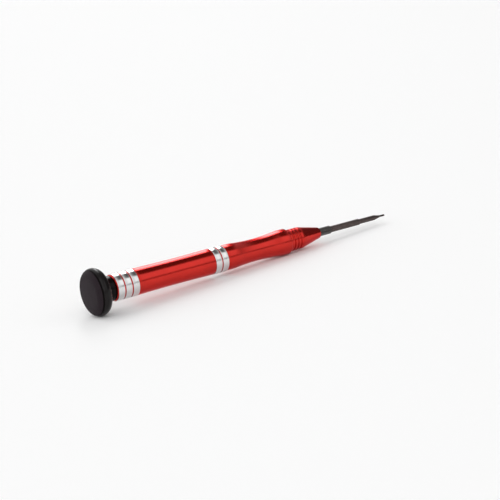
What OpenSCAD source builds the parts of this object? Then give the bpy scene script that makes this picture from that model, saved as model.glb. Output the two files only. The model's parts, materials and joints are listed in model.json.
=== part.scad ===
// Pocket precision screwdriver with a swivel cap on a ball bearing and a collet chuck.
// Sizes are in millimetres. Every piece is turned about one axis, so each is drawn along +Z,
// from the cap's palm face at zero to the blade's point, and lay_down() then rests the whole
// tool on the floor, on the rims of its cap and its flange, with the blade towards +X.

/* [Swivel cap] */
// Diameter of the cap's rim
cap_d = 17.3; // [17.1:0.1:20]
// Thickness of the cap's disc
cap_t = 5.05; // [5:0.05:6.5]
// Rounding of the rim on the palm side
cap_palm_round = 3; // [2:0.1:3.1]
// Rounding of the rim on the handle side
cap_back_round = 1.9; // [1:0.1:2]
// Diameter of the hub that holds the bearing
hub_d = 9.2; // [8.8:0.1:9.6]
// Length of the hub in front of the disc
hub_l = 3.7; // [3.4:0.1:5]
// Hollow fillet between the hub and the disc
hub_fillet = 0.9; // [0.4:0.1:1.4]
// Diameter of the disc let into the palm face
face_disc_d = 11; // [9:0.1:11.2]
// Thickness of the disc let into the palm face
face_disc_t = 0.8; // [0.5:0.1:1.2]
// Width of the groove around the palm face
face_groove_w = 0.6; // [0.3:0.05:0.8]
// Angle around the palm side's rounding from the palm face to the groove
face_groove_angle = 63; // [45:1:75]

/* [Ball bearing] */
// Bore of the inner ring, which is also the pivot screw's size
bearing_bore_d = 3; // [2.6:0.1:3.2]
// Outside diameter of the outer ring
bearing_od = 7; // [6.8:0.1:7.4]
// Width of the bearing
bearing_w = 3; // [2.6:0.1:3.2]
// Diameter of a ball
ball_d = 1; // [0.8:0.05:1.1]
// Number of balls
ball_count = 7; // [6:1:8]
// Width of the cage along the axis
cage_w = 1.5; // [1.3:0.05:1.8]
// Thickness of the cage's wall
cage_t = 0.4; // [0.3:0.05:0.5]
// Thickness of a dust shield
shield_t = 0.2; // [0.15:0.05:0.3]
// How far the bearing sits inside the hub's mouth
bearing_recess = 0.2; // [0.1:0.05:0.3]

/* [Pivot screw] */
// Diameter of the screw's head
screw_head_d = 4.2; // [3.8:0.1:4.6]
// Height of the screw's head
screw_head_h = 1.5; // [1.2:0.1:1.8]
// Key size of the socket in the head, across flats
screw_key = 2; // [1.5:0.1:2.2]
// Depth of the socket in the head
screw_key_depth = 0.9; // [0.6:0.1:1]
// Length of thread held in the handle
screw_reach = 6; // [4:0.5:8]
// Thickness of the washer between the bearing and the handle
washer_t = 0.5; // [0.4:0.05:0.8]
// Outside diameter of the washer
washer_d = 4.1; // [3.8:0.1:4.4]

/* [Handle barrel] */
// Diameter at both ends of the barrel
barrel_end_d = 9.8; // [9.6:0.05:10]
// Diameter at the middle of the barrel
barrel_mid_d = 9.44; // [9:0.02:9.5]
// Length of the barrel between its two sets of rings
barrel_l = 32.55; // [25:0.05:40]
// Diameter of the joint between barrel and grip
joint_d = 7; // [6:0.1:8]
// Length of the joint between barrel and grip
joint_l = 8.5; // [6:0.5:12]
// Broken edges of the barrel and the grip
handle_edge = 0.15; // [0.05:0.05:0.2]

/* [Bright rings] */
// Outside diameter of a ring
ring_d = 10; // [9.9:0.05:10.4]
// Width of a ring
ring_w = 2.55; // [2:0.05:3]
// Gap between two rings, where the handle shows
ring_gap = 0.45; // [0.3:0.05:0.8]
// Diameter of the seat under the rings
ring_seat_d = 9.5; // [9.3:0.05:9.55]
// Broken edges of a ring
ring_edge = 0.1; // [0.05:0.01:0.15]
// Length of the seat that shows behind the last ring
rear_edge_l = 0.425; // [0.3:0.025:0.8]
// Chamfer at the rear end of the handle
rear_chamfer = 0.25; // [0.1:0.05:0.3]

/* [Front grip] */
// Diameter of the collar in front of the middle rings
collar_d = 9.6; // [9.4:0.05:9.9]
// Length of the collar
collar_l = 4.3; // [3:0.1:6]
// Diameter at the narrowest place of the finger waist
waist_d = 8.5; // [8:0.1:9]
// Length of the waist from the collar to its narrowest place
waist_rear_l = 9.8; // [7:0.1:14]
// Length of the waist from its narrowest place to the flange
waist_front_l = 11.8; // [8:0.1:16]
// Diameter of the flange
flange_d = 10; // [9.6:0.1:11]
// Length of the flange
flange_l = 3.3; // [2:0.1:5]
// Rounding of the flange's front edge
flange_round = 0.35; // [0.1:0.05:0.6]
// Diameter of the threaded nose that carries the chuck nut
nose_d = 6.4; // [6:0.1:6.8]
// Length of the threaded nose
nose_l = 6; // [4.5:0.1:7]

/* [Chuck nut] */
// Diameter of the nut's ringed part
nut_d = 8.5; // [8.2:0.1:9.2]
// Length of the nut's ringed part
nut_grip_l = 6.2; // [5.6:0.1:8]
// Number of ring grooves
nut_grooves = 3; // [2:1:4]
// Width of a ring groove
nut_groove_w = 0.6; // [0.4:0.05:0.8]
// Depth of a ring groove
nut_groove_depth = 0.45; // [0.4:0.05:0.5]
// Distance from one ring groove to the next
nut_groove_pitch = 1.5; // [1.2:0.1:1.6]
// Length of the nut's cone
nut_cone_l = 9.6; // [8:0.1:12]
// Diameter of the cone's end
nut_end_d = 4.4; // [4.2:0.1:5]
// Rounding of the cone's end
nut_end_round = 0.5; // [0.2:0.05:0.6]
// Broken rear edge of the nut
nut_edge = 0.25; // [0.1:0.05:0.35]
// Length of the plain hole at the nut's mouth
nut_mouth_l = 2; // [1.2:0.1:3]

/* [Collet] */
// Diameter of the collet's sleeve inside the nose
collet_d = 4; // [3.8:0.1:4.4]
// Length of the collet's sleeve inside the nose
collet_seat_l = 12; // [8:0.5:16]
// Diameter of the collet's head
collet_head_d = 4.9; // [4.6:0.1:5.2]
// Length of the head's plain part
collet_head_l = 0.8; // [0.5:0.1:1]
// Length of the cone that closes the jaws
collet_cone_l = 5; // [4:0.1:5.5]
// Diameter of the jaws where they stand out of the nut
jaw_d = 3.2; // [3.1:0.1:3.6]
// Length of the jaws in front of the nut
jaw_l = 5.8; // [4:0.1:8]
// Chamfer at the end of the jaws
jaw_chamfer = 0.3; // [0.1:0.05:0.35]
// Width of the slits between the jaws
slit_w = 0.3; // [0.2:0.05:0.4]
// Length of the slits
slit_l = 16; // [12:0.5:20]

/* [Blade] */
// Diameter of the shank held by the collet
shank_d = 2; // [1.8:0.05:2.2]
// Length of the shank held by the collet
shank_l = 22; // [16:0.5:24]
// Diameter of the blade's shaft
shaft_d = 2.5; // [2.45:0.05:2.8]
// Length of the blade's shaft
shaft_l = 14.3; // [8:0.1:30]
// Diameter of the thin part of the blade
thin_d = 2; // [1.5:0.05:2.2]
// Length of the thin part of the blade
thin_l = 7.85; // [5:0.05:15]
// Length of the sloping shoulder between shaft and thin part
shoulder_l = 0.25; // [0.1:0.05:0.6]
// Length of the taper that leads to the point
taper_l = 3; // [2:0.1:5]
// Diameter over the lobes of the star point
point_d = 0.8; // [0.7:0.05:1.2]
// Length of the star point
point_l = 2.3; // [1.5:0.1:3.5]
// Number of lobes on the star point
point_lobes = 5; // [5:1:6]

/* [Hidden] */

// Counts of the repeated rings
rear_rings = 3;
middle_rings = 2;

// Clearances: a seat pressed or screwed tight, a running fit and the gap before a stop
seat_gap = 0.02;
run_gap = 0.05;
end_gap = 0.05;
// Gap between the nut and the flange when the chuck is closed
nut_gap = 0.2;
// Gap around the pivot screw's head and at the rims of the dust shields
head_gap = 0.6;
shield_gap = 0.1;
// How far a dust shield lies inside the bearing's end
shield_inset = 0.1;
// How far every cut runs past the face that it opens
overrun = 1;

// Height of the race shoulders as a share of the ball's radius
race_shoulder_share = 0.9;
// Chamfers of the pivot screw as a share of its head's height and of its radius
screw_chamfer_share = 0.25;
// Lobes and core of the star point as shares of its radius
lobe_share = 0.36;
lobe_core_share = 0.72;

// Facets of ordinary rounds and of the waist's wide arcs, and steps in each half of the barrel's side
$fn = 96;
wide_arc_fn = 2000;
barrel_steps = 8;

// Radii
cap_r = cap_d / 2;
hub_r = hub_d / 2;
ball_r = ball_d / 2;
ball_pitch_r = (bearing_bore_d + bearing_od) / 4;
race_r = ball_r + run_gap / 2;
inner_land_r = ball_pitch_r - ball_r * race_shoulder_share;
outer_land_r = ball_pitch_r + ball_r * race_shoulder_share;
screw_r = bearing_bore_d / 2 - seat_gap;
ring_seat_r = ring_seat_d / 2;
flange_r = flange_d / 2;
nut_r = nut_d / 2;
collet_r = collet_d / 2;
collet_head_r = collet_head_d / 2;
jaw_r = jaw_d / 2;
point_r = point_d / 2;

// Places along the axis, from the palm face to the point
hub_front = cap_t + hub_l;
bearing_front = hub_front - bearing_recess;
bearing_rear = bearing_front - bearing_w;
bearing_mid = bearing_rear + bearing_w / 2;
handle_rear = bearing_front + washer_t;
ring_pitch = ring_w + ring_gap;
rear_ring_z = handle_rear + rear_edge_l;
barrel_rear = rear_ring_z + rear_rings * ring_pitch - ring_gap;
barrel_front = barrel_rear + barrel_l;
middle_ring_z = barrel_front;
collar_rear = middle_ring_z + middle_rings * ring_pitch - ring_gap;
collar_front = collar_rear + collar_l;
waist_z = collar_front + waist_rear_l;
flange_rear = waist_z + waist_front_l;
flange_front = flange_rear + flange_l;
nose_front = flange_front + nose_l;
collet_seat_z = nose_front - collet_seat_l;
nut_rear = flange_front + nut_gap;
nut_shoulder = nut_rear + nut_grip_l;
nut_front = nut_shoulder + nut_cone_l;
collet_rear = collet_seat_z + end_gap;
collet_cone_front = nut_front - nut_mouth_l;
collet_cone_rear = collet_cone_front - collet_cone_l;
collet_head_rear = collet_cone_rear - collet_head_l;
collet_front = nut_front + jaw_l;
shaft_rear = collet_front + end_gap;
shank_rear = shaft_rear - shank_l;
shaft_front = shaft_rear + shaft_l;
thin_rear = shaft_front + shoulder_l;
thin_front = thin_rear + thin_l;
taper_front = thin_front + taper_l;
point_front = taper_front + point_l;

// The tool rests on two rounded rims: the handle side of the cap and the front of the flange.
// The floor is the line that touches both rounds, so the axis drops towards the blade by tilt.
cap_rest_r = cap_r - cap_back_round;
cap_rest_z = cap_t - cap_back_round;
flange_rest_r = flange_r - flange_round;
flange_rest_z = flange_front - flange_round;
rest_run = flange_rest_z - cap_rest_z;
rest_drop = cap_rest_r - flange_rest_r;
tilt = atan2(rest_drop, rest_run) - asin((flange_round - cap_back_round) / norm([rest_run, rest_drop]));
axis_h = cap_back_round + cap_rest_r * cos(tilt) + cap_rest_z * sin(tilt);

// Rearmost and foremost reach of the tool as it lies, so that the origin is midway between them
reach_rear = -cap_palm_round * (1 - cos(tilt)) - (cap_r - cap_palm_round) * sin(tilt);
reach_front = point_front * cos(tilt) + point_r * sin(tilt);
axis_x = -(reach_rear + reach_front) / 2;

// Radius of the arc that rises by rise over the length run, level at its start
function arc_r(run, rise) = (run * run + rise * rise) / (2 * rise);

// Direction of the normal where a line from a corner touches a round
function touch_angle(corner, centre, r) =
    let (way = corner - centre) atan2(way[1], way[0]) + acos(r / norm(way));

// Lay a piece drawn along +Z down on the floor
module lay_down() {
    translate([axis_x, 0, axis_h])
        rotate([0, 90 + tilt, 0])
            children();
}

// Turn a half section, with the radius along X and the axis along Y, into a piece
module turned() {
    rotate_extrude() children();
}

// Section of a plain band between two radii and two places
module band(r_in, r_out, z_from, z_to) {
    translate([r_in, z_from])
        square([r_out - r_in, z_to - z_from]);
}

// Section of a bore, which runs past the axis so that its cut is clean there
module bore(r, z_from, z_to) {
    band(-overrun, r, z_from, z_to);
}

// Section of a rod with a chamfer at each end
module rod(r, z_from, z_to, chamfer_from = 0, chamfer_to = 0) {
    polygon([
        [0, z_from], [r - chamfer_from, z_from], [r, z_from + chamfer_from],
        [r, z_to - chamfer_to], [r - chamfer_to, z_to], [0, z_to]
    ]);
}

// Section of a straight taper
module taper(r_from, z_from, r_to, z_to) {
    polygon([[0, z_from], [r_from, z_from], [r_to, z_to], [0, z_to]]);
}

// Section of a rod whose far edge is rounded
module rod_round_to(r, z_from, z_to, round_r) {
    band(0, r, z_from, z_to - round_r);
    band(0, r - round_r, z_from, z_to);
    translate([r - round_r, z_to - round_r]) circle(round_r);
}

// Cap: a rounded button with a groove around its palm face, and a hub bored for the bearing
module swivel_cap() {
    palm_centre = [cap_r - cap_palm_round, cap_palm_round];
    groove_centre = palm_centre + cap_palm_round * [sin(face_groove_angle), -cos(face_groove_angle)];
    color("#17151a") lay_down() turned() difference() {
        union() {
            rod_round_to(cap_r, cap_palm_round, cap_t, cap_back_round);
            band(0, palm_centre[0], 0, cap_t - cap_back_round);
            translate(palm_centre) circle(cap_palm_round);
            rod(hub_r, cap_back_round, hub_front, 0, bearing_recess);
            difference() {
                band(0, hub_r + hub_fillet, cap_back_round, cap_t + hub_fillet);
                translate([hub_r + hub_fillet, cap_t + hub_fillet]) circle(hub_fillet);
            }
        }
        translate(groove_centre) circle(face_groove_w / 2);
        bore(face_disc_d / 2 + seat_gap, -overrun, face_disc_t);
        bore(screw_head_d / 2 + head_gap, 0, bearing_rear + overrun);
        bore(bearing_od / 2 + seat_gap, bearing_rear, hub_front + overrun);
    }
}

// Disc let into the palm face, which closes the hole over the pivot screw
module cap_face_disc() {
    color("#3b3438") lay_down() turned()
        rod(face_disc_d / 2, 0, face_disc_t, seat_gap, seat_gap);
}

// Screw that holds the bearing's inner ring on the handle, with a hexagon socket
module pivot_screw() {
    head_rear = bearing_rear - screw_head_h;
    key_across_corners = screw_key / cos(30);
    color("#a9acb0") lay_down() difference() {
        turned() {
            rod(screw_head_d / 2, head_rear, bearing_rear, screw_head_h * screw_chamfer_share, 0);
            rod(screw_r, head_rear, handle_rear + screw_reach, 0, screw_r * screw_chamfer_share);
        }
        translate([0, 0, head_rear - overrun])
            cylinder(d = key_across_corners, h = screw_key_depth + overrun, $fn = 6);
    }
}

// Washer that keeps the turning hub clear of the handle
module spacer_washer() {
    color("#c9a85a") lay_down() turned()
        band(bearing_bore_d / 2, washer_d / 2, bearing_front, handle_rear);
}

// Section of the ball track that both bearing rings are cut by
module ball_track() {
    translate([ball_pitch_r, bearing_mid]) circle(race_r);
}

// Inner ring of the bearing, clamped to the handle
module bearing_inner_ring() {
    color("#c3c6ca") lay_down() turned() difference() {
        band(bearing_bore_d / 2, inner_land_r, bearing_rear, bearing_front);
        ball_track();
    }
}

// Outer ring of the bearing, pressed into the hub
module bearing_outer_ring() {
    color("#c3c6ca") lay_down() turned() difference() {
        band(outer_land_r, bearing_od / 2, bearing_rear, bearing_front);
        ball_track();
    }
}

// Places one child at the centre of each ball
module at_each_ball() {
    for (ball = [0 : ball_count - 1])
        rotate([0, 0, ball * 360 / ball_count])
            translate([ball_pitch_r, 0, bearing_mid])
                children();
}

// The balls of the bearing
module bearing_balls() {
    color("#e2e4e6") lay_down() at_each_ball() sphere(ball_r);
}

// Cage that spaces the balls, with a pocket for each
module bearing_cage() {
    color("#d0b060") lay_down() difference() {
        turned() band(
            ball_pitch_r - cage_t / 2, ball_pitch_r + cage_t / 2,
            bearing_mid - cage_w / 2, bearing_mid + cage_w / 2
        );
        at_each_ball()
            rotate([0, 90, 0])
                cylinder(r = ball_r + run_gap, h = ball_d, center = true);
    }
}

// Dust shield pressed into the outer ring, clear of the inner ring
module dust_shield(z) {
    color("#9fa3a8") lay_down() turned()
        band(inner_land_r + shield_gap, outer_land_r - seat_gap, z, z + shield_t);
}

module bearing_rear_shield() {
    dust_shield(bearing_rear + shield_inset);
}

module bearing_front_shield() {
    dust_shield(bearing_front - shield_inset - shield_t);
}

// Rear half of the handle: ring seat, hollow-sided barrel, screw hole and joint bore
module rear_barrel() {
    half_l = barrel_l / 2;
    hollow = (barrel_end_d - barrel_mid_d) / 2;
    hollow_side = [
        for (step = [-barrel_steps : barrel_steps])
            let (along = step / barrel_steps)
                [barrel_mid_d / 2 + hollow * along * along, barrel_rear + half_l + half_l * along]
    ];
    color("#c3161c") lay_down() turned() difference() {
        union() {
            rod(ring_seat_r, handle_rear, barrel_rear + ring_gap, rear_chamfer, 0);
            intersection() {
                rod(barrel_end_d / 2, barrel_rear, barrel_front, handle_edge, handle_edge);
                polygon(concat([[0, barrel_rear]], hollow_side, [[0, barrel_front]]));
            }
        }
        bore(screw_r + seat_gap, handle_rear - overrun, handle_rear + screw_reach + overrun);
        bore(joint_d / 2 + seat_gap, barrel_front - joint_l - overrun, barrel_front + overrun);
    }
}

// Bright ring on the handle
module bright_ring(z) {
    color("#d9dcde") lay_down() turned() difference() {
        rod(ring_d / 2, z, z + ring_w, ring_edge, ring_edge);
        bore(ring_seat_r + seat_gap, z - overrun, z + ring_w + overrun);
    }
}

module rear_ring_1() {
    bright_ring(rear_ring_z);
}

module rear_ring_2() {
    bright_ring(rear_ring_z + ring_pitch);
}

module rear_ring_3() {
    bright_ring(rear_ring_z + 2 * ring_pitch);
}

module middle_ring_1() {
    bright_ring(middle_ring_z);
}

module middle_ring_2() {
    bright_ring(middle_ring_z + ring_pitch);
}

// Half of the finger waist: a hollow arc from the waist's narrowest place to a wider end
module waist_half(z_from, z_to, end_d) {
    arc = arc_r(z_to - z_from, (end_d - waist_d) / 2);
    difference() {
        band(0, end_d / 2, z_from, z_to);
        translate([waist_d / 2 + arc, waist_z]) circle(arc, $fn = wide_arc_fn);
    }
}

// Front half of the handle: joint spigot, ring seat, collar, waist, flange and threaded nose
module front_grip() {
    color("#c3161c") lay_down() turned() difference() {
        union() {
            rod(joint_d / 2, barrel_front - joint_l, collar_rear, handle_edge, 0);
            band(0, ring_seat_r, barrel_front, collar_rear + collar_l / 2);
            rod(collar_d / 2, collar_rear, collar_front, handle_edge, 0);
            waist_half(collar_front, waist_z, collar_d);
            waist_half(waist_z, flange_rear, flange_d);
            rod_round_to(flange_r, flange_rear, flange_front, flange_round);
            rod(nose_d / 2, flange_rear, nose_front, 0, handle_edge);
        }
        bore(collet_r + run_gap, collet_seat_z, nose_front + overrun);
    }
}

// Section of a ring groove with a round bottom, from its deepest place
module ring_groove() {
    groove_r = nut_groove_w / 2;
    translate([groove_r, 0]) circle(groove_r);
    band(groove_r, nut_groove_depth + overrun, -groove_r, groove_r);
}

// Chuck nut: ring grooves for the fingers, a cone outside and a closing cone inside
module chuck_nut() {
    end_centre = [nut_end_d / 2 - nut_end_round, nut_front - nut_end_round];
    side = touch_angle([nut_r, nut_shoulder], end_centre, nut_end_round);
    side_end = end_centre + nut_end_round * [cos(side), sin(side)];
    thread_end = nose_front + nut_gap;
    first_groove = nut_rear + (nut_grip_l - (nut_grooves - 1) * nut_groove_pitch) / 2;
    color("#c3161c") lay_down() turned() difference() {
        union() {
            rod(nut_r, nut_rear, nut_shoulder, nut_edge, 0);
            polygon([
                [0, nut_rear], [nut_r - nut_edge, nut_rear], [nut_r, nut_shoulder], side_end,
                [end_centre[0], nut_front], [0, nut_front]
            ]);
            translate(end_centre) circle(nut_end_round);
        }
        for (groove = [0 : nut_grooves - 1])
            translate([nut_r - nut_groove_depth, first_groove + groove * nut_groove_pitch])
                ring_groove();
        bore(nose_d / 2 + run_gap, nut_rear - overrun, thread_end);
        bore(collet_head_r + run_gap, nut_rear, collet_cone_rear);
        taper(collet_head_r + run_gap, collet_cone_rear, jaw_r + run_gap, collet_cone_front);
        bore(jaw_r + run_gap, collet_cone_rear, nut_front + overrun);
    }
}

// Collet: a sleeve in the nose, a closing cone, and four jaws parted by two crossing slits
module collet() {
    color("#55524f") lay_down() difference() {
        turned() difference() {
            union() {
                rod(collet_r, collet_rear, collet_cone_rear, handle_edge, 0);
                rod(collet_head_r, collet_head_rear, collet_cone_rear, handle_edge, 0);
                taper(collet_head_r, collet_cone_rear, jaw_r, collet_cone_front);
                rod(jaw_r, collet_cone_rear, collet_front, 0, jaw_chamfer);
            }
            bore(shank_d / 2 + run_gap / 2, collet_rear - overrun, collet_front + overrun);
        }
        for (turn = [0, 90])
            rotate([0, 0, turn])
                translate([-collet_head_d / 2 - overrun, -slit_w / 2, collet_front - slit_l])
                    cube([collet_head_d + 2 * overrun, slit_w, slit_l + overrun]);
    }
}

// Section of the star point: a core with round lobes
module star_point() {
    lobe_r = point_r * lobe_share;
    circle(point_r * lobe_core_share);
    for (lobe = [0 : point_lobes - 1])
        rotate(lobe * 360 / point_lobes)
            translate([point_r - lobe_r, 0])
                circle(lobe_r);
}

// Blade: shank in the collet, shaft, thin part, taper and star point
module blade() {
    shank_r = shank_d / 2;
    shaft_r = shaft_d / 2;
    thin_r = thin_d / 2;
    color("#3a3130") lay_down() {
        turned() {
            rod(shank_r, shank_rear, shaft_rear, handle_edge, 0);
            band(0, shaft_r, shaft_rear, shaft_front);
            taper(shaft_r, shaft_front, thin_r, thin_rear);
            band(0, thin_r, thin_rear, thin_front);
            taper(thin_r, thin_front, point_r, taper_front);
        }
        translate([0, 0, thin_front])
            linear_extrude(taper_l + point_l)
                star_point();
    }
}

swivel_cap();
cap_face_disc();
pivot_screw();
spacer_washer();
bearing_inner_ring();
bearing_outer_ring();
bearing_balls();
bearing_cage();
bearing_rear_shield();
bearing_front_shield();
rear_barrel();
rear_ring_1();
rear_ring_2();
rear_ring_3();
middle_ring_1();
middle_ring_2();
front_grip();
chuck_nut();
collet();
blade();
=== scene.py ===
import json
import math

import bmesh
import bpy
from mathutils import Matrix, Vector

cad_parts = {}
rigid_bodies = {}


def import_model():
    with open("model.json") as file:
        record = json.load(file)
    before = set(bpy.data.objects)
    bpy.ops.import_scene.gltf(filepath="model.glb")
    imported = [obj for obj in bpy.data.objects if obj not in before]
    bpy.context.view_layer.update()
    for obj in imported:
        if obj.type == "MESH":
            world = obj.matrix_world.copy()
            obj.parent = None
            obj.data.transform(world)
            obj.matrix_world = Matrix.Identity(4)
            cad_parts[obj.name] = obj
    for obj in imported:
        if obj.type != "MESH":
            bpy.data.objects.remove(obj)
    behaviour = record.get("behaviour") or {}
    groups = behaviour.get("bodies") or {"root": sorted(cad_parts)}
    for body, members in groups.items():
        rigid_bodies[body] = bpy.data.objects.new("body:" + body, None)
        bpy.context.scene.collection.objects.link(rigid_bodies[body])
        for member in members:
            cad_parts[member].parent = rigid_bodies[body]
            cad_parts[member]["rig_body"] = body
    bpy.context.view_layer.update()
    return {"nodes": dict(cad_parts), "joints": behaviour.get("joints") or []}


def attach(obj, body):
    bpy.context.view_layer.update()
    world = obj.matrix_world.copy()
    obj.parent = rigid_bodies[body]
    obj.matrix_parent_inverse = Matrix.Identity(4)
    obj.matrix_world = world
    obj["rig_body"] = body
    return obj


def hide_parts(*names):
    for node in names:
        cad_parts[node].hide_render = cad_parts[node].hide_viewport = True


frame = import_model()

MM = 0.001

# The tool's own frame: the axis runs from the palm face of the cap to the point of the blade
cap_pivot = next(joint for joint in frame["joints"] if joint["name"] == "cap_spin")
PIVOT = Vector(cap_pivot["pos_m"])
ALONG = Vector(cap_pivot["axis"]).normalized()
ACROSS = Vector((0, 1, 0))
UP = ALONG.cross(ACROSS)
TOOL_TURN = Matrix((UP, -ACROSS, ALONG)).transposed()


def rear_end(node):
    """Place along the axis of a node's rearmost point, from the cap's pivot."""
    return min((vertex.co - PIVOT).dot(ALONG) for vertex in frame["nodes"][node].data.vertices)


PALM = PIVOT + ALONG * rear_end("cap_face_disc")

# Mesh sizes
TURN_STEPS = 144
WELD = 0.0001 * MM
STRAIGHT = math.radians(0.05)
SHARP = math.radians(25)
EDGE_SEGMENTS = 3

# Width of the broken edge on each piece that is turned again
EDGE_MM = {
    "swivel_cap": 0.05,
    "cap_face_disc": 0.01,
    "rear_barrel": 0.06,
    "rear_ring_1": 0.05,
    "rear_ring_2": 0.05,
    "rear_ring_3": 0.05,
    "middle_ring_1": 0.05,
    "middle_ring_2": 0.05,
    "front_grip": 0.06,
    "chuck_nut": 0.05,
}

# Pieces that aren't turned all round, and the width of their broken edges
SOFTENED = ("collet", "blade")
SOFT_EDGE_MM = 0.03


# Modelling

def half_section(node):
    """The outline of a turned node on one side of its axis, as loose edges."""
    section = bmesh.new()
    section.from_mesh(frame["nodes"][node].data)
    bmesh.ops.remove_doubles(section, verts=section.verts, dist=WELD)
    for normal, both_sides in ((ACROSS, True), (-UP, False)):
        bmesh.ops.bisect_plane(
            section,
            geom=[*section.verts, *section.edges, *section.faces],
            dist=WELD,
            plane_co=PALM,
            plane_no=normal,
            clear_outer=True,
            clear_inner=both_sides,
        )
    bmesh.ops.dissolve_limit(section, angle_limit=STRAIGHT, verts=section.verts, edges=section.edges)
    return section


def turn(section):
    """Spins a half section about the tool's axis into a closed shape."""
    bmesh.ops.spin(
        section,
        geom=[*section.verts, *section.edges],
        cent=PALM,
        axis=ALONG,
        dvec=(0, 0, 0),
        angle=math.tau,
        steps=TURN_STEPS,
        use_merge=True,
    )
    bmesh.ops.remove_doubles(section, verts=section.verts, dist=WELD)
    bmesh.ops.recalc_face_normals(section, faces=section.faces)


def break_edges(shape, width):
    """Rounds the sharp edges of a shape, as deburring does."""
    sharp = [edge for edge in shape.edges if edge.is_manifold and edge.calc_face_angle() > SHARP]
    bmesh.ops.bevel(
        shape,
        geom=sharp,
        offset=width,
        offset_type="OFFSET",
        segments=EDGE_SEGMENTS,
        profile=0.5,
        affect="EDGES",
        clamp_overlap=True,
        material=-1,
    )


def finished_piece(shape, name, node):
    """Makes a bmesh a piece that stands for a node and rides on its body."""
    for face in shape.faces:
        face.smooth = True
    for edge in shape.edges:
        edge.smooth = not edge.is_manifold or edge.calc_face_angle() < SHARP
    mesh = bpy.data.meshes.new(name)
    shape.to_mesh(mesh)
    shape.free()
    cad = frame["nodes"][node]
    slot = cad.data.materials[0].name
    mesh.materials.append(bpy.data.materials[slot])
    piece = bpy.data.objects.new(name, mesh)
    bpy.context.scene.collection.objects.link(piece)
    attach(piece, cad["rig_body"])
    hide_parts(node)


def turned_piece(node):
    """A finer copy of a turned node, with its edges broken."""
    shape = half_section(node)
    turn(shape)
    break_edges(shape, EDGE_MM[node] * MM)
    finished_piece(shape, "turned_" + node, node)


def softened_piece(node):
    """A copy of a node that isn't turned all round, with its edges broken."""
    shape = bmesh.new()
    shape.from_mesh(frame["nodes"][node].data)
    bmesh.ops.remove_doubles(shape, verts=shape.verts, dist=WELD)
    bmesh.ops.dissolve_limit(shape, angle_limit=STRAIGHT, verts=shape.verts, edges=shape.edges)
    bmesh.ops.recalc_face_normals(shape, faces=shape.faces)
    break_edges(shape, SOFT_EDGE_MM * MM)
    finished_piece(shape, "softened_" + node, node)


# Materials

# Noise cells in a millimetre along the tool's three directions, the last along its axis
LATHE_LINES = (0.05, 0.05, 9.0)
SOFT_CLOUDS = (0.35, 0.35, 0.12)
OXIDE_CLOUDS = (0.8, 0.8, 0.5)
FINE_GRAIN = (9.0, 9.0, 9.0)

NOISE_DETAIL = 3.0
GRAIN_DETAIL = 4.0
NOISE_ROUGHNESS = 0.6
# The middle of a noise, where most of its values lie
NOISE_MIDDLE = (0.3, 0.7)

# Two shades of each finish
RED_SHADES = ((0.54, 0.010, 0.0036), (0.63, 0.014, 0.006))
ALUMINIUM_SHADES = ((0.69, 0.69, 0.69), (0.78, 0.78, 0.78))
FACE_SHADES = ((0.014, 0.009, 0.012), (0.019, 0.012, 0.016))
RIM_SHADES = ((0.004, 0.003, 0.003), (0.008, 0.006, 0.006))
BLADE_SHADES = ((0.080, 0.060, 0.058), (0.110, 0.086, 0.082))
COLLET_SHADES = ((0.082, 0.076, 0.072), (0.120, 0.110, 0.105))
BEARING_SHADES = ((0.52, 0.53, 0.55), (0.62, 0.63, 0.65))
SCREW_SHADES = ((0.42, 0.43, 0.45), (0.52, 0.53, 0.55))
BRASS_SHADES = ((0.62, 0.46, 0.17), (0.72, 0.55, 0.24))

# Least and most roughness of each finish
RED_ROUGHNESS = (0.19, 0.25)
ALUMINIUM_ROUGHNESS = (0.16, 0.22)
FACE_ROUGHNESS = (0.54, 0.70)
BLADE_ROUGHNESS = (0.34, 0.46)
COLLET_ROUGHNESS = (0.30, 0.42)
BEARING_ROUGHNESS = (0.15, 0.25)
SCREW_ROUGHNESS = (0.25, 0.35)
BRASS_ROUGHNESS = (0.23, 0.33)

# Where the cap's matte face ends at its groove, and its glossy rim and hub begin, from the palm face
FACE_END_MM = 1.40
RIM_START_MM = 1.88
HUB_START_MM = 5.2
ZONE_BLEND_MM = 0.04

# Levels for the cap's face, groove, rim and hub; the groove's near-zero specular is painted shade that
# keeps the groove dark
CAP_BLACK_SHARES = (0.0, 1.0, 1.0, 1.0)
CAP_ROUGHNESS = (0.62, 0.7, 0.24, 0.09)
CAP_SPECULAR = (0.12, 0.02, 0.2, 0.07)


def new_node(tree, kind, inputs=None, **settings):
    """Adds a node with its settings, and its inputs as values or as links from sockets."""
    node = tree.nodes.new(kind)
    for key, value in settings.items():
        setattr(node, key, value)
    for key, value in (inputs or {}).items():
        if isinstance(value, bpy.types.NodeSocket):
            tree.links.new(value, node.inputs[key])
        else:
            node.inputs[key].default_value = value
    return node


def finish_tree(slot):
    """Empties the material of a slot and gives it a new shader."""
    material = bpy.data.materials[slot]
    material.use_nodes = True
    tree = material.node_tree
    tree.nodes.clear()
    shader = new_node(tree, "ShaderNodeBsdfPrincipled")
    output = new_node(tree, "ShaderNodeOutputMaterial")
    tree.links.new(shader.outputs["BSDF"], output.inputs["Surface"])
    return tree, shader


def tool_place(tree):
    """Coordinates in millimetres in the tool's own frame, with Z along its axis."""
    place = new_node(tree, "ShaderNodeTexCoord")
    mapping = new_node(
        tree,
        "ShaderNodeMapping",
        {
            "Vector": place.outputs["Object"],
            "Location": PALM,
            "Rotation": TOOL_TURN.to_euler(),
            "Scale": (MM, MM, MM),
        },
        vector_type="TEXTURE",
    )
    return mapping.outputs["Vector"]


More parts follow.
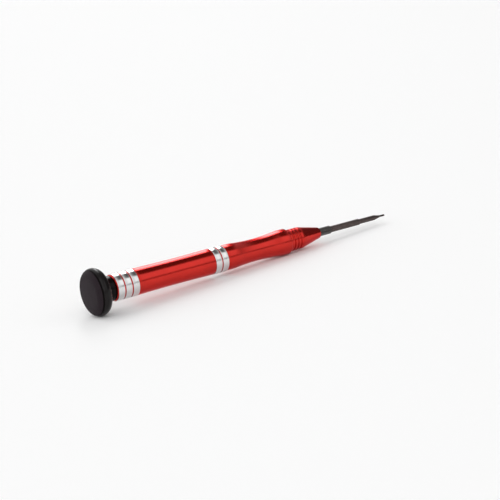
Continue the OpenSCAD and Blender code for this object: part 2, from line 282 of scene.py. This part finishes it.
def stretched_noise(tree, place, stretch, detail=NOISE_DETAIL):
    """Noise that is drawn out by the given scales along the tool's three directions."""
    drawn = new_node(tree, "ShaderNodeMapping", {"Vector": place, "Scale": stretch})
    noise = new_node(
        tree,
        "ShaderNodeTexNoise",
        {"Vector": drawn.outputs["Vector"], "Scale": 1.0, "Detail": detail, "Roughness": NOISE_ROUGHNESS},
    )
    return noise.outputs["Fac"]


def spread(tree, value, low, high, from_low=NOISE_MIDDLE[0], from_high=NOISE_MIDDLE[1]):
    """Spreads one range of a value, the middle of a noise unless given, over another."""
    node = new_node(
        tree,
        "ShaderNodeMapRange",
        {"Value": value, "From Min": from_low, "From Max": from_high, "To Min": low, "To Max": high},
    )
    return node.outputs["Result"]


def shaded(tree, noise, shades):
    """A colour that wanders between two shades with a noise."""
    first, second = ((*shade, 1) for shade in shades)
    inputs = {"Factor": spread(tree, noise, 0, 1), "A": first, "B": second}
    return new_node(tree, "ShaderNodeMix", inputs, data_type="RGBA").outputs["Result"]


def bump(tree, height, depth_mm):
    """Raises a surface by a height from 0 to 1 times a depth."""
    inputs = {"Height": height, "Strength": 1.0, "Distance": depth_mm * MM}
    return new_node(tree, "ShaderNodeBump", inputs).outputs["Normal"]


def set_shader(tree, shader, **inputs):
    """Sets the shader's own sockets, named with underscores for spaces, to values or links."""
    for key, value in inputs.items():
        socket = shader.inputs[key.replace("_", " ")]
        if isinstance(value, bpy.types.NodeSocket):
            tree.links.new(value, socket)
        else:
            socket.default_value = value


def red_anodised():
    """Red anodised aluminium: tinted metal with fine turning lines under a thin clear layer."""
    tree, shader = finish_tree("red_anodised")
    place = tool_place(tree)
    lines = stretched_noise(tree, place, LATHE_LINES)
    clouds = stretched_noise(tree, place, SOFT_CLOUDS)
    set_shader(
        tree,
        shader,
        Base_Color=shaded(tree, clouds, RED_SHADES),
        Metallic=1.0,
        Roughness=spread(tree, lines, *RED_ROUGHNESS),
        Specular_Tint=(0.90, 0.30, 0.28, 1),
        Coat_Weight=0.75,
        Coat_Roughness=0.14,
        Coat_IOR=1.4,
        Normal=bump(tree, lines, depth_mm=0.0015),
    )


def bright_aluminium():
    """Bright aluminium with fine turning lines."""
    tree, shader = finish_tree("bright_aluminium")
    place = tool_place(tree)
    lines = stretched_noise(tree, place, LATHE_LINES)
    clouds = stretched_noise(tree, place, SOFT_CLOUDS)
    set_shader(
        tree,
        shader,
        Base_Color=shaded(tree, clouds, ALUMINIUM_SHADES),
        Metallic=1.0,
        Roughness=spread(tree, lines, *ALUMINIUM_ROUGHNESS),
        Normal=bump(tree, lines, depth_mm=0.002),
    )


def face_colour(tree, place):
    """Colour of the palm face, on the cap and on its disc."""
    return shaded(tree, stretched_noise(tree, place, SOFT_CLOUDS), FACE_SHADES)


def zones(tree, along, levels):
    """A level for the cap's face, groove, rim and hub, by the place along the axis."""
    value = levels[0]
    borders = (FACE_END_MM, RIM_START_MM, HUB_START_MM)
    for border, before, after in zip(borders, levels, levels[1:]):
        step = spread(tree, along, 0, after - before, border - ZONE_BLEND_MM, border + ZONE_BLEND_MM)
        value = new_node(tree, "ShaderNodeMath", {0: step, 1: value}, operation="ADD").outputs["Value"]
    return value


def black_cap():
    """Black cap whose palm face, inside a groove kept dark by painted shade (a near-zero specular), is
    matte and a little lighter than its rim.
    """
    tree, shader = finish_tree("black_cap")
    place = tool_place(tree)
    grain = stretched_noise(tree, place, FINE_GRAIN, GRAIN_DETAIL)
    along = new_node(tree, "ShaderNodeSeparateXYZ", {"Vector": place}).outputs["Z"]
    colour = new_node(
        tree,
        "ShaderNodeMix",
        {
            "Factor": zones(tree, along, CAP_BLACK_SHARES),
            "A": face_colour(tree, place),
            "B": shaded(tree, grain, RIM_SHADES),
        },
        data_type="RGBA",
    )
    set_shader(
        tree,
        shader,
        Base_Color=colour.outputs["Result"],
        Roughness=zones(tree, along, CAP_ROUGHNESS),
        Specular_IOR_Level=zones(tree, along, CAP_SPECULAR),
        Normal=bump(tree, grain, depth_mm=0.004),
    )


def face_disc():
    """Matte disc in the middle of the palm face."""
    tree, shader = finish_tree("face_disc")
    place = tool_place(tree)
    grain = stretched_noise(tree, place, FINE_GRAIN, GRAIN_DETAIL)
    set_shader(
        tree,
        shader,
        Base_Color=face_colour(tree, place),
        Roughness=spread(tree, grain, *FACE_ROUGHNESS),
        Specular_IOR_Level=CAP_SPECULAR[0],
        Normal=bump(tree, grain, depth_mm=0.004),
    )


def dark_steel(slot, shades, roughness):
    """Blackened steel with fine turning lines."""
    tree, shader = finish_tree(slot)
    place = tool_place(tree)
    lines = stretched_noise(tree, place, LATHE_LINES)
    set_shader(
        tree,
        shader,
        Base_Color=shaded(tree, stretched_noise(tree, place, OXIDE_CLOUDS), shades),
        Metallic=0.85,
        Roughness=spread(tree, lines, *roughness),
        Normal=bump(tree, lines, depth_mm=0.002),
    )


def plain_metal(slot, shades, roughness):
    """Clean metal of the inner pieces, with fine turning lines."""
    tree, shader = finish_tree(slot)
    lines = stretched_noise(tree, tool_place(tree), LATHE_LINES)
    set_shader(
        tree,
        shader,
        Base_Color=shaded(tree, lines, shades),
        Metallic=1.0,
        Roughness=spread(tree, lines, *roughness),
        Normal=bump(tree, lines, depth_mm=0.001),
    )


red_anodised()
bright_aluminium()
black_cap()
face_disc()
dark_steel("blade_steel", BLADE_SHADES, BLADE_ROUGHNESS)
dark_steel("collet_steel", COLLET_SHADES, COLLET_ROUGHNESS)
plain_metal("bearing_steel", BEARING_SHADES, BEARING_ROUGHNESS)
plain_metal("screw_steel", SCREW_SHADES, SCREW_ROUGHNESS)
plain_metal("brass", BRASS_SHADES, BRASS_ROUGHNESS)

for node in EDGE_MM:
    turned_piece(node)
for node in SOFTENED:
    softened_piece(node)


# Stage: floor, light and camera

FLOOR_HALF = 20.0
FLOOR_COLOUR = (0.98, 0.98, 0.98, 1)
FLOOR_ROUGHNESS = 0.8


def floor():
    """Wide pale floor that the tool lies on."""
    shape = bmesh.new()
    bmesh.ops.create_grid(shape, x_segments=1, y_segments=1, size=FLOOR_HALF)
    mesh = bpy.data.meshes.new("floor")
    shape.to_mesh(mesh)
    shape.free()
    material = bpy.data.materials.new("pale_floor")
    material.use_nodes = True
    shader = material.node_tree.nodes["Principled BSDF"]
    shader.inputs["Base Color"].default_value = FLOOR_COLOUR
    shader.inputs["Roughness"].default_value = FLOOR_ROUGHNESS
    mesh.materials.append(material)
    plane = bpy.data.objects.new("floor", mesh)
    bpy.context.scene.collection.objects.link(plane)


# Light by the angle about the tool's length, from 0 in front through 90 overhead to 180 behind
LIGHT_BANDS = [
    (0, 0.26),
    (7, 0.34),
    (18, 1.2),
    (56, 1.2),
    (66, 0.05),
    (108, 0.05),
    (115, 0.08),
    (150, 0.08),
    (165, 1.1),
    (180, 1.0),
]
# A bright strip behind the tool, by the same angle
LIGHT_STRIP = [(109, 0.0), (115, 3.4), (122, 6.5), (150, 6.5), (160, 0.0)]
# Shades of the plain light by the same angle: at the horizon and a little overhead
PLAIN_SHADES = [
    (0, 0.3),
    (7, 0.4),
    (14, 1.15),
    (70, 1.15),
    (80, 0.4),
    (98, 0.4),
    (108, 1.15),
    (168, 1.15),
    (180, 0.5),
]

# By the share of the way along X: the plain light with its dark end, and where shades, bands and strip lie
PLAIN_LIGHT = [(-1.0, 1.18), (0.0, 1.18), (0.25, 0.78), (0.66, 0.78), (0.75, 0.13), (1.0, 0.13)]
SHADES_SHARE = [(0.20, 1.0), (0.38, 0.0)]
BANDS_SHARE = [(0.38, 0.0), (0.46, 1.0), (0.60, 1.0), (0.65, 0.0)]
STRIP_SHARE = [(0.38, 0.0), (0.46, 1.0), (0.52, 1.0), (0.548, 0.0)]

RAMP_MIDDLE = 0.5


def multiplied(tree, first, second):
    return new_node(tree, "ShaderNodeMath", {0: first, 1: second}, operation="MULTIPLY").outputs["Value"]


def blended(tree, share, first, second):
    inputs = {"Factor": share, "A": first, "B": second}
    return new_node(tree, "ShaderNodeMix", inputs, data_type="FLOAT").outputs["Result"]


def steps(tree, value, levels):
    """A level that follows a value through a list of places and levels."""
    low, high = levels[0][0], levels[-1][0]
    brightest = max(level for _, level in levels)
    share = new_node(tree, "ShaderNodeMapRange", {"Value": value, "From Min": low, "From Max": high})
    ramp = new_node(tree, "ShaderNodeValToRGB", {"Fac": share.outputs["Result"]})
    stops = ramp.color_ramp.elements
    while len(stops) < len(levels):
        stops.new(RAMP_MIDDLE)
    for stop, (at, level) in zip(stops, levels):
        stop.position = (at - low) / (high - low)
        stop.color = (*[level / brightest] * 3, 1)
    return multiplied(tree, ramp.outputs["Color"], brightest)


def studio_light():
    """World light: plain behind the cap, banded where the handle mirrors it, dark past the blade."""
    world = bpy.data.worlds.new("studio")
    bpy.context.scene.world = world
    world.use_nodes = True
    tree = world.node_tree
    tree.nodes.clear()
    way = new_node(tree, "ShaderNodeTexCoord").outputs["Generated"]
    parts = new_node(tree, "ShaderNodeSeparateXYZ", {"Vector": way})
    along = parts.outputs["X"]
    front = multiplied(tree, parts.outputs["Y"], -1.0)
    angle = new_node(tree, "ShaderNodeMath", {0: parts.outputs["Z"], 1: front}, operation="ARCTAN2")
    degrees = multiplied(tree, angle.outputs["Value"], math.degrees(1))
    shade = blended(tree, steps(tree, along, SHADES_SHARE), 1.0, steps(tree, degrees, PLAIN_SHADES))
    plain = multiplied(tree, steps(tree, along, PLAIN_LIGHT), shade)
    banded = blended(tree, steps(tree, along, BANDS_SHARE), plain, steps(tree, degrees, LIGHT_BANDS))
    strip = multiplied(tree, steps(tree, degrees, LIGHT_STRIP), steps(tree, along, STRIP_SHARE))
    total = new_node(tree, "ShaderNodeMath", {0: banded, 1: strip}, operation="ADD")
    strength = total.outputs["Value"]
    lit = new_node(tree, "ShaderNodeBackground", {"Color": (1, 1, 1, 1), "Strength": strength})
    output = new_node(tree, "ShaderNodeOutputWorld")
    tree.links.new(lit.outputs["Background"], output.inputs["Surface"])


CAMERA_PLACE_MM = Vector((-254.652, -400.104, 120.807))
CAMERA_AIM_MM = Vector((1.257, -0.498, 6.205))
CAMERA_ROLL = math.radians(-9.3615)
CAMERA_LENS = 93.6
CAMERA_SENSOR = 36.0
CAMERA_NEAR = 0.01
CAMERA_FAR = 100.0


def camera():
    """Camera on the side of the cap, aimed at the middle of the tool."""
    data = bpy.data.cameras.new("camera")
    data.lens = CAMERA_LENS
    data.sensor_width = CAMERA_SENSOR
    data.clip_start = CAMERA_NEAR
    data.clip_end = CAMERA_FAR
    view = bpy.data.objects.new("camera", data)
    look = (CAMERA_AIM_MM - CAMERA_PLACE_MM).to_track_quat("-Z", "Y").to_matrix()
    turn_about_view = look @ Matrix.Rotation(CAMERA_ROLL, 3, "Z")
    view.matrix_world = Matrix.Translation(CAMERA_PLACE_MM * MM) @ turn_about_view.to_4x4()
    bpy.context.scene.collection.objects.link(view)
    bpy.context.scene.camera = view


floor()
studio_light()
camera()
bpy.context.scene.view_settings.view_transform = "Standard"
